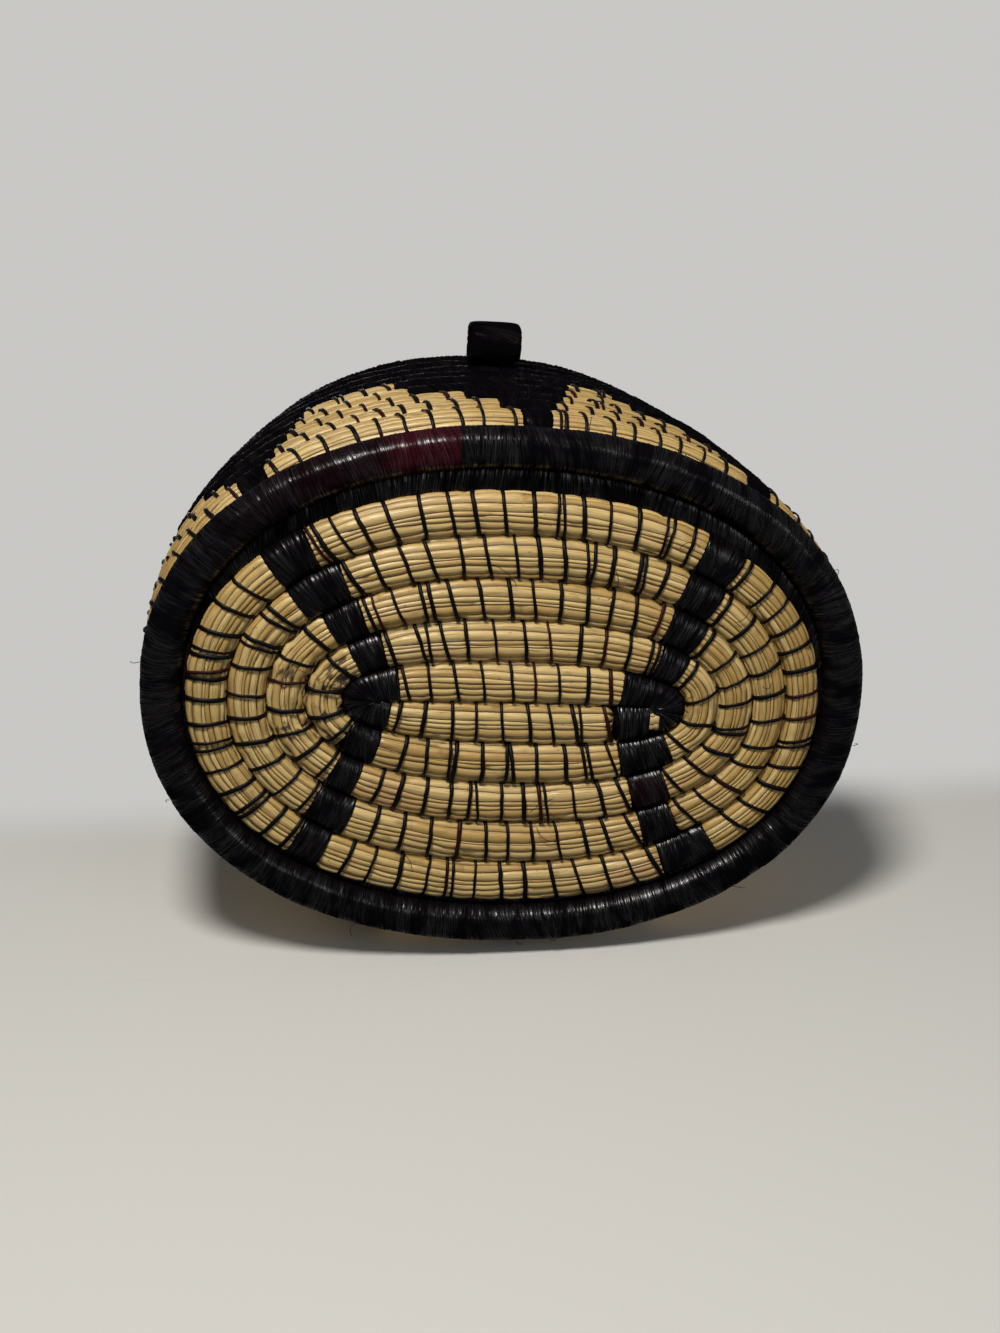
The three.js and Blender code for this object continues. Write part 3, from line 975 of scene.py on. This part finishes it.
def dressField(prefix, node, edge, scale, spacing, body, seed):
    path = windingPath(edge, field["turns"], field["stepAngle"], field["share"], form["coil"])
    spans = fieldSpans(path, scale)
    steps = stepSpans(path, field["share"])
    blocks = fieldBlocks([roundPath(edge, k, form["coil"]) for k in range(field["turns"])], scale)
    dressCoil(prefix, node, body, path, spans, steps, spacing, blocks, field["wrap"], blackFibre, seed)
    return path


# Loose hairs of fibre on the base and on the foot ring
stray = {
    "onBase": 20,
    "onRing": 22,
    "radius": 0.00007,
    "length": (2.5, 7.5),
    "curl": 0.32,
    "over": 0.45,
    "steps": 12,
    "riseOnBase": 0.3,
    "riseOnRing": 0.5,
}


def strayLine(start, x, y, z, rise, rng):  # a hair that curls along x and y and bows up along z
    steps = stray["steps"]
    length = rng.uniform(*stray["length"])
    angle = rng.uniform(0, 2 * np.pi) + np.cumsum(np.full(steps, rng.uniform(-1, 1) * stray["curl"]))
    away = np.cumsum(np.cos(angle)[:, None] * x + np.sin(angle)[:, None] * y, axis=0) * length / steps
    bow = np.sin(np.linspace(0, np.pi, steps))[:, None] * z * rise
    return (start + away + bow) * 0.001


def strayPiece(name, lines, body, node):
    data = bpy.data.curves.new(name, "CURVE")
    data.dimensions = "3D"
    data.bevel_depth = stray["radius"]
    data.bevel_resolution = 1
    for line in lines:
        spline = data.splines.new("POLY")
        spline.points.add(len(line) - 1)
        spline.points.foreach_set("co", np.hstack([line, np.ones((len(line), 1))]).ravel())
    piece(name, data, stitchThread, body, [node])


def baseStrays(path, seed):
    rng = np.random.default_rng(seed)
    lines = []
    for s in rng.uniform(0.08, 0.97, stray["onBase"]) * path.length:
        centre, across, through = (v[0] for v in path.at(np.array([s])))
        x, z = unit(across), unit(through)
        start = centre + through + z * stray["over"] + across * rng.uniform(-0.5, 0.5)
        lines.append(strayLine(start, x, np.cross(z, x), z, stray["riseOnBase"], rng))
    return lines


def ringStrays(path, seed):
    rng = np.random.default_rng(seed)
    lines = []
    for s in rng.uniform(0, 1, stray["onRing"]) * path.length:
        centre, across, through = (v[0] for v in path.at(np.array([s])))
        turn = rng.uniform(0, 0.45 * np.pi)
        out = unit(unit(across) * np.cos(turn) - unit(through) * np.sin(turn))
        around = np.cross(unit(across), unit(through))
        start = centre + out * (np.linalg.norm(across) + 0.1)
        away = around * 0.7 + out * 0.35
        lines.append(strayLine(start, away, np.cross(out, around), out, stray["riseOnRing"], rng))
    return lines


base = {
    "coreLength": 71,
    "length": 131.4,
    "depth": 89.2,
    "shiftX": 1.8,
    "shiftY": 1.8,
    "level": 4.7,
    "spacing": 1.2,
}


def makeBase():
    size = [base[label] for label in ("coreLength", "length", "depth", "shiftX", "shiftY")]
    edge = fieldEdge(field["turns"], *size, lambda u: base["level"] + 0 * u)
    path = dressField("base", "base_coil", edge, 1.0, base["spacing"], "body", 11)
    piece("base_bare_patch", bareMesh(base["level"], 60), dryGrass, "body", ["base_coil"])
    strayPiece("base_loose_hairs", baseStrays(path, 61), "body", "base_coil")


makeBase()


# Foot ring, with its stretch of dark red fibre and its face to the table
border = {"level": 6.1, "deep": 2.7, "overlap": 1.4, "wrap": {"lump": 0.06, "ridge": 0.12}}
edging = {"level": 12.0, "inset": 0.9, "spacing": 0.33}
footRing = {
    "redFrom": -31,
    "redFull": -24,
    "redTo": -13.5,
    "redEnd": -12.5,
    "hazeFrom": -66,
    "haze": 0.2,
    "table": 0.03,  # the lowest point of its face to the table
    "wrap": {"squareness": 1.85, "sides": 32, "ridge": 0.08, "stray": 0.08},
}


def borderPath():  # closes the gap between the foot ring and the grass of the base
    cord = form["footCord"]
    x, y = ovalPoint(form["footLength"] / 2 - cord, form["footDepth"] / 2 - cord, form["oval"], fullTurn)
    outer = np.stack([x, y + form["centreY"], 0 * x], -1)
    x, y = ovalPoint(base["length"] / 2, base["depth"] / 2, form["oval"], fullTurn)
    inner = np.stack([x, y + form["centreY"] + base["shiftY"], 0 * x], -1)
    across = (outer - inner) / 2
    across += unit(across) * border["overlap"]
    centre = (outer + inner) / 2 + np.array([0, 0, border["level"]])
    return Path(centre, across, np.tile([0, 0, border["deep"]], (len(x), 1)), 0 * x, True)


def makeFootRing():
    cord = form["footCord"]
    a, b = form["footLength"] / 2 - cord / 2, form["footDepth"] / 2 - cord / 2
    path = ringPath(a, b, form["footCentre"], cord, cord)
    rows, closed, attributes = wrapRows(path, 0, path.length, 0, 70, footRing["wrap"])
    rows[..., 2] = np.maximum(rows[..., 2], footRing["table"])

    def grows(low, high):
        return ease((rows[..., 0] - footRing[low]) / (footRing[high] - footRing[low]))

    red = np.maximum(grows("redFrom", "redFull"), footRing["haze"] * grows("hazeFrom", "redFrom"))
    red = red * (1 - grows("redTo", "redEnd"))
    attributes["tint"] = red * (rows[..., 1] < form["centreY"])
    mesh = meshFromRows("foot_ring_wrap", rows, closed, attributes)
    piece("foot_ring_wrap", mesh, blackFibre, "body", ["foot_ring"])
    strayPiece("foot_ring_loose_hairs", ringStrays(path, 62), "body", "foot_ring")
    inset = 1.5 * form["coil"] + edging["inset"]
    a, b = bodyHalf(edging["level"])
    path = ringPath(a - inset, b - inset, edging["level"], form["coil"], form["coil"])
    shape = {"spacing": edging["spacing"]}
    mesh = wrapMesh("base_edge_wrap", [(path, 0, path.length, 0)], 0.1, 90, shape)
    piece("base_edge_wrap", mesh, dullFibre, "body", ["base_edge"])
    path = borderPath()
    mesh = wrapMesh("base_border_wrap", [(path, 0, path.length, 0)], 0.0, 95, border["wrap"])
    piece("base_border_wrap", mesh, blackFibre, "body", ["base_edge"])


makeFootRing()


# Wall: natural courses with black triangles that step out from the foot
wall = {
    "stepAngle": 75,
    "share": 0.045,
    "around": 425,  # length of the wall's outside, which the places of the triangles go by
    "centres": (3, 53, 116, 179, -184, -121, -58),
    "left": (3.4, 7.5, 13.6, 25.2, 28.0),
    "right": (3.5, 5.6, 8.8, 10.5, 12.5),
    "end": 7,  # black stretch that closes the coil
    "spacing": 1.6,
    "wrap": {"spacing": 0.36, "sides": 24},
}


def wallBlocks(path):
    turns = form["wallTurns"]
    fronts = [path.spot(0, -1, turn, turn + 1) for turn in range(turns)]
    spans = []
    for turn, front in enumerate(fronts):
        around = fronts[turn + 1] - front if turn < turns - 1 else front - fronts[turn - 1]
        scale = around / wall["around"]
        for centre in wall["centres"]:
            start = front + (centre - wall["left"][turn]) * scale
            stop = front + (centre + wall["right"][turn]) * scale
            spans.append((max(0, start), min(path.length, stop)))
    spans.append((path.length - wall["end"], path.length + wrapping["edgeReach"]))
    spans.sort()
    merged = []
    for start, stop in spans:
        if merged and start < merged[-1][1] + 2:
            merged[-1] = (merged[-1][0], max(stop, merged[-1][1]))
        elif stop > start + 1:
            merged.append((start, stop))
    return merged


def makeWall():
    path = windingPath(wallEdge, form["wallTurns"], wall["stepAngle"], wall["share"], form["coil"])
    spans = wallBlocks(path)
    blocks = [(path, start, stop, 0) for start, stop in spans]
    spacing, shape = wall["spacing"], wall["wrap"]
    dressCoil("wall", "wall_coil", "body", path, spans, [], spacing, blocks, shape, dullFibre, 120)


makeWall()


# Black rounds at the mouth and on the lid, dented where the hinge cords pass
mouth = {
    "darkLevel": 58.2,
    "darkPress": 1.0,  # the dark course is pressed tight between its neighbours
    "bodyRim": 67.6,
    "lidRim": 77.1,
    "lidTop": 86.6,
    "lift": 0.05,
}
hinge = {
    "spread": 22,
    "cord": 2.2,
    "slack": 0.75,
    "y": 55.128,
    "room": 0.45,
    "sweep": 3.2,
    "dentSlope": 2.2,
    "dentReach": 6,
    "press": 0.1,
    "pressSlope": 0.25,
}


def denter(centreY, centreZ, change):  # moves a skin from or to a middle line near each hinge cord
    def dent(rows):
        for side in (-1, 1):
            away = np.abs(rows[..., 0] - side * hinge["spread"] / 2)
            y, z = rows[..., 1] - centreY, rows[..., 2] - centreZ
            scale = change(away, np.hypot(y, z))
            rows[..., 1] = centreY + y * scale
            rows[..., 2] = centreZ + z * scale
        return rows

    return dent


def drum(level, radius):  # keeps the skin out of a drum round each cord
    def change(away, r):
        reach = radius - hinge["dentSlope"] * np.maximum(0, away - hinge["cord"] / 2 - hinge["room"])
        return np.where((r < reach) & (away < hinge["dentReach"]), reach / np.maximum(r, 1e-6), 1)

    return denter(hinge["y"], level, change)


def snug(level):  # presses a rim's skin in where the cords pass round it
    half = form["rimCord"] / 2
    a, b = bodyHalf(level)
    inward = (1 - (hinge["spread"] / 2 / (a - half)) ** form["oval"]) ** (1 / form["oval"])

    def change(away, r):
        limit = half - hinge["press"] + hinge["pressSlope"] * np.maximum(0, away - hinge["cord"])
        return np.where((r > limit) & (r < 2 * half) & (away < half), limit / np.maximum(r, 1e-6), 1)

    return denter(form["centreY"] + (b - half) * inward, level, change)


def blackRound(node, level, width, height, body, seed, dent):
    a, b = bodyHalf(level)
    path = ringPath(a - width / 2, b - width / 2, level, width, height)
    mesh = wrapMesh(f"{node}_wrap", [(path, 0, path.length, 0)], mouth["lift"], seed, wall["wrap"], dent)
    piece(f"{node}_wrap", mesh, dullFibre, body, [node])


def makeMouth():
    cord = form["rimCord"]
    radius = cord / 2 + hinge["slack"] + hinge["cord"] + hinge["room"]
    under = drum(mouth["bodyRim"], radius)
    over = drum(mouth["lidRim"], radius + hinge["sweep"] - hinge["room"])
    tall = form["wallPitch"] + mouth["darkPress"]
    blackRound("dark_course", mouth["darkLevel"], form["coil"], tall, "body", 200, under)
    blackRound("body_rim", mouth["bodyRim"], cord, cord, "body", 220, snug(mouth["bodyRim"]))
    blackRound("lid_rim", mouth["lidRim"], cord, cord, "lid", 240, snug(mouth["lidRim"]))
    blackRound("lid_shoulder", mouth["lidTop"], cord, cord, "lid", 260, over)


makeMouth()


# Lid: a crowned field like the base's, and a collar that drops inside the mouth
lid = {
    "coreLength": 56,
    "rise": 5,
    "collarTurns": 2,
    "collarDepth": 4,
    "collarThickness": 4.5,
    "collarPlay": (2.4, 3.6),
    "collarLift": -0.1,
    "spacing": 1.1,
    "wrap": {"spacing": 0.45, "sides": 20},
}


def makeLid():
    a, b = bodyHalf(mouth["lidTop"])
    length, depth = 2 * (a - form["rimCord"]), 2 * (b - form["rimCord"])
    turns = field["turns"]

    def crown(u):
        return mouth["lidTop"] + lid["rise"] * (1 - (u / turns) ** 2)

    edge = fieldEdge(turns, lid["coreLength"], length, depth, 0, 0, crown)
    dressField("lid", "lid_coil", edge, length / base["length"], lid["spacing"], "lid", 300)
    a, b = bodyHalf(mouth["bodyRim"])
    thick = lid["collarThickness"]
    a = a - form["rimCord"] - lid["collarPlay"][0] - thick / 2
    b = b - form["rimCord"] - lid["collarPlay"][1] - thick / 2
    top = mouth["lidTop"] - form["coil"] / 2
    bottom = mouth["bodyRim"] + form["rimCord"] / 2 - lid["collarDepth"]

    def collarEdge(u, angle):
        x, y = ovalPoint(a, b, form["oval"], angle)
        return np.stack([x, y + form["centreY"], top + (bottom - top) * u / lid["collarTurns"]], -1)

    path = windingPath(collarEdge, lid["collarTurns"], wall["stepAngle"], wall["share"], thick)
    radius = form["rimCord"] / 2 + hinge["slack"] + hinge["cord"] + hinge["sweep"]
    over = drum(mouth["lidRim"], radius)
    blocks = [(path, 0, path.length, 0)]
    mesh = wrapMesh("lid_collar_wrap", blocks, lid["collarLift"], 340, lid["wrap"], over)
    piece("lid_collar_wrap", mesh, dullFibre, "lid", ["lid_collar"])


makeLid()


# Pull loop: a wrapped strap bent out from the lid's rim
strap = {
    "half": 5.8,
    "thickness": 1.9,
    "level": 71.6,
    "corners": (
        (-65.1, -5.0),
        (-65.1, 5.0),
        (-59.0, 5.0),
        (-57.1, 4.9),
        (-57.1, 3.6),
        (-57.4, 1.9),
        (-58.5, 0.2),
        (-58.5, -5.0),
    ),
    "round": 4,
    "cut": 0.22,  # share of each side that a round of rounding cuts off
    "tie": 0.25,  # how far the strands that tie it stand off the rim
    "tieWrap": {"ridge": 0.12},
    "wrap": {
        "squareness": 3.6,
        "sides": 36,
        "spacing": 0.2,
        "strand": (0.45, 0.8),
        "ridge": 0.10,
        "stray": 0.05,
        "lump": 0.04,
    },
}


def alongRing(points, count, ends=True):  # evenly spaced points on a closed line
    ring = np.vstack([points, points[:1]])
    s = reached(ring)
    fine = np.linspace(0, s[-1], count, endpoint=ends)
    return fine, np.stack([np.interp(fine, s, ring[:, k]) for k in range(2)], -1)


def loopPath(points, across, thickness):  # in the plane square to X
    fine, line = alongRing(points, 600)
    chord = np.roll(line[:-1], -1, 0) - np.roll(line[:-1], 1, 0)
    chord = unit(np.vstack([chord, chord[:1]]))
    centre = np.stack([0 * fine, line[:, 0] + form["centreY"], line[:, 1] + strap["level"]], -1)
    out = np.stack([0 * fine, chord[:, 1], -chord[:, 0]], -1) * thickness / 2
    side = np.tile([across, 0, 0], (len(fine), 1))
    return Path(centre, side, out, 0 * fine, True)


def makeStrap():
    points = np.array(strap["corners"], float)
    cut, kept = strap["cut"], 1 - strap["cut"]
    for _ in range(strap["round"]):
        following = np.roll(points, -1, 0)
        pairs = [points * kept + following * cut, points * cut + following * kept]
        points = np.stack(pairs, 1).reshape(-1, 2)
    path = loopPath(points, strap["half"], strap["thickness"])
    mesh = wrapMesh("pull_loop_strap", [(path, 0, path.length, 0)], 0.0, 400, strap["wrap"])
    piece("pull_loop_strap", mesh, dullFibre, "lid", ["lid_loop"])
    a, b = bodyHalf(mouth["lidRim"])
    cord = form["rimCord"]
    rim = ringPath(a - cord / 2, b - cord / 2, mouth["lidRim"], cord, cord)
    start, stop = sorted(rim.spot(side * strap["half"], -1, 0, 0) for side in (-1, 1))
    mesh = wrapMesh("pull_loop_tie", [(rim, start, stop, 0)], strap["tie"], 420, strap["tieWrap"])
    piece("pull_loop_tie", mesh, dullFibre, "lid", ["lid_loop"])


makeStrap()


# Hinge cords: two plies laid round each other, in a loop round both rims
ply = {"rows": 240, "sides": 16, "twists": 13, "valley": 0.2, "fill": 1.06, "girth": 6}


def makeHinges():
    radius = form["rimCord"] / 2 + hinge["slack"] + hinge["cord"] / 2
    angle = np.linspace(0, np.pi, 60)
    upper = np.stack([hinge["y"] + radius * np.cos(angle), mouth["lidRim"] + radius * np.sin(angle)], -1)
    lower = np.stack([hinge["y"] - radius * np.cos(angle), mouth["bodyRim"] - radius * np.sin(angle)], -1)
    fine, line = alongRing(np.vstack([upper, lower]), ply["rows"], False)
    chord = unit(np.roll(line, -1, 0) - np.roll(line, 1, 0))
    around = np.arange(ply["sides"]) / ply["sides"] * 2 * np.pi
    lay = np.arange(ply["rows"]) / ply["rows"] * 2 * np.pi * ply["twists"]
    gap = np.abs(np.cos(around[None, :] - lay[:, None]))
    half = hinge["cord"] / 2 * (ply["fill"] - ply["valley"] * gap)
    for name, side in {"left": -1, "right": 1}.items():
        middle = np.full(len(fine), side * hinge["spread"] / 2)
        centre = np.stack([middle, line[:, 0], line[:, 1]], -1)
        out = np.stack([0 * fine, chord[:, 1], -chord[:, 0]], -1)
        rows = centre[:, None] + out[:, None] * (half * np.cos(around))[..., None]
        rows[..., 0] += half * np.sin(around)
        across = around / 6.28 * ply["girth"] + 0 * gap
        run = np.stack([across, fine[:, None] + 0 * gap, 0 * gap], -1) * 0.001
        # gap marks the valleys between plies, which the fibre material paints darker as shade
        attributes = {"run": run, "tone": 0.5 + 0 * gap, "gap": 1 - gap, "tint": 0 * gap}
        mesh = meshFromRows(f"hinge_cord_{name}", rows, True, attributes)
        piece(f"hinge_cord_{name}", mesh, blackFibre, "body", [f"hinge_loop_{name}"])


makeHinges()


# Stage: the cloth that the basket lies on in the photograph, and a floor for it to stand on
stage = {
    "clothNormal": (-0.073, -0.995, -0.064),
    "clothLevel": 0.03,
    "clothReach": 0.0572,
    "clothColor": (0.56, 0.55, 0.525, 1),
    "fade": (0.16, 0.30),
    "behind": (0.060, 0.088),  # the cloth fades out below the swing of the lid
    "backdrop": (0.58, 0.575, 0.56, 1),
    "light": (0.93, 0.96, 1.0, 1),
    "lightStrength": 0.15,
    "sheetHalf": 0.6,
    "weave": (700, 700, 700),
}

# Each lamp's place, the height it aims at, its size, power and colour
lamps = {
    "key_light": ((-0.17, -0.53, -0.31), 0.02, 0.15, 4.4, (1.0, 0.97, 0.92)),
    "side_light": ((0.26, -0.20, -0.46), 0.02, 0.30, 0.45, (0.96, 0.98, 1.0)),
    "top_light": ((0.0, 0.10, 0.72), 0.05, 0.4, 3.0, (1.0, 0.98, 0.95)),
    "back_light": ((0.18, 0.55, 0.30), 0.05, 0.4, 2.2, (1.0, 0.99, 0.97)),
}


def sheetMaterial(name, far):
    material, g = newMaterial(name)
    place = g.node("ShaderNodeTexCoord", {}, {}, "Object")
    away = g.node("ShaderNodeVectorMath", {"operation": "LENGTH"}, {0: place}, "Value")
    back = g.node("ShaderNodeNewGeometry", {}, {}, "Backfacing")
    weave = g.bump(0.2, 0.0002, g.noise(g.scaled(place, stage["weave"]), 2.0))
    plain = g.node("ShaderNodeBsdfDiffuse", {}, {"Color": stage["clothColor"], "Normal": weave})
    clear = g.node("ShaderNodeBsdfTransparent")
    hidden = back.sum("MAXIMUM", back, away.ramp(*stage["fade"]))
    if far:
        level = g.parts(g.node("ShaderNodeNewGeometry", {}, {}, "Position"))[2]
        hidden = back.sum("MAXIMUM", hidden, level.ramp(*far))
    mixed = g.node("ShaderNodeMixShader", {}, {0: hidden, 1: plain, 2: clear})
    g.node("ShaderNodeOutputMaterial", {}, {"Surface": mixed})
    return material


def makeSheet(name, centre, normal, material):
    mesh = bpy.data.meshes.new(name)
    half = stage["sheetHalf"]
    corners = [(x * half, y * half, 0) for x, y in ((-1, -1), (1, -1), (1, 1), (-1, 1))]
    mesh.from_pydata(corners, [], [(0, 1, 2, 3)])
    mesh.materials.append(material)
    obj = linked(name, mesh)
    obj.location = centre
    obj.rotation_mode = "QUATERNION"
    obj.rotation_quaternion = Vector(normal).to_track_quat("Z", "Y")
    obj.visible_shadow = False
    obj.visible_diffuse = False
    obj.visible_glossy = False


def makeLight(name, place, level, size, power, color):
    data = bpy.data.lights.new(name, "AREA")
    data.shape = "DISK"
    data.size = size
    data.energy = power
    data.color = color
    obj = linked(name, data)
    obj.location = place
    obj.rotation_mode = "QUATERNION"
    obj.rotation_quaternion = (Vector(place) - Vector((0, 0, level))).to_track_quat("Z", "Y")
    return obj


def makeStage():
    normal = Vector(stage["clothNormal"]).normalized()
    foot = Vector((0, form["centreY"] * 0.001, 0))
    middle = foot + Vector((0, 0, stage["clothLevel"])) - normal * stage["clothReach"]
    makeSheet("cloth_sheet", middle, normal, sheetMaterial("plain_cloth", stage["behind"]))
    makeSheet("floor_sheet", foot, (0, 0, 1), sheetMaterial("plain_floor", None))
    world = bpy.data.worlds.new("world")
    world.use_nodes = True
    world.node_tree.nodes.clear()
    g = Graph(world.node_tree)
    seen = g.node("ShaderNodeLightPath", {}, {}, "Is Camera Ray")
    sockets = {"Color": stage["light"], "Strength": stage["lightStrength"]}
    lit = g.node("ShaderNodeBackground", {}, sockets)
    shown = g.node("ShaderNodeBackground", {}, {"Color": stage["backdrop"], "Strength": 1.0})
    mixed = g.node("ShaderNodeMixShader", {}, {0: seen, 1: lit, 2: shown})
    g.node("ShaderNodeOutputWorld", {}, {"Surface": mixed})
    bpy.context.scene.world = world
    bpy.context.scene.view_settings.view_transform = "Standard"
    made = {name: makeLight(name, *values) for name, values in lamps.items()}
    made["back_light"].visible_glossy = False


makeStage()

print("stage made")
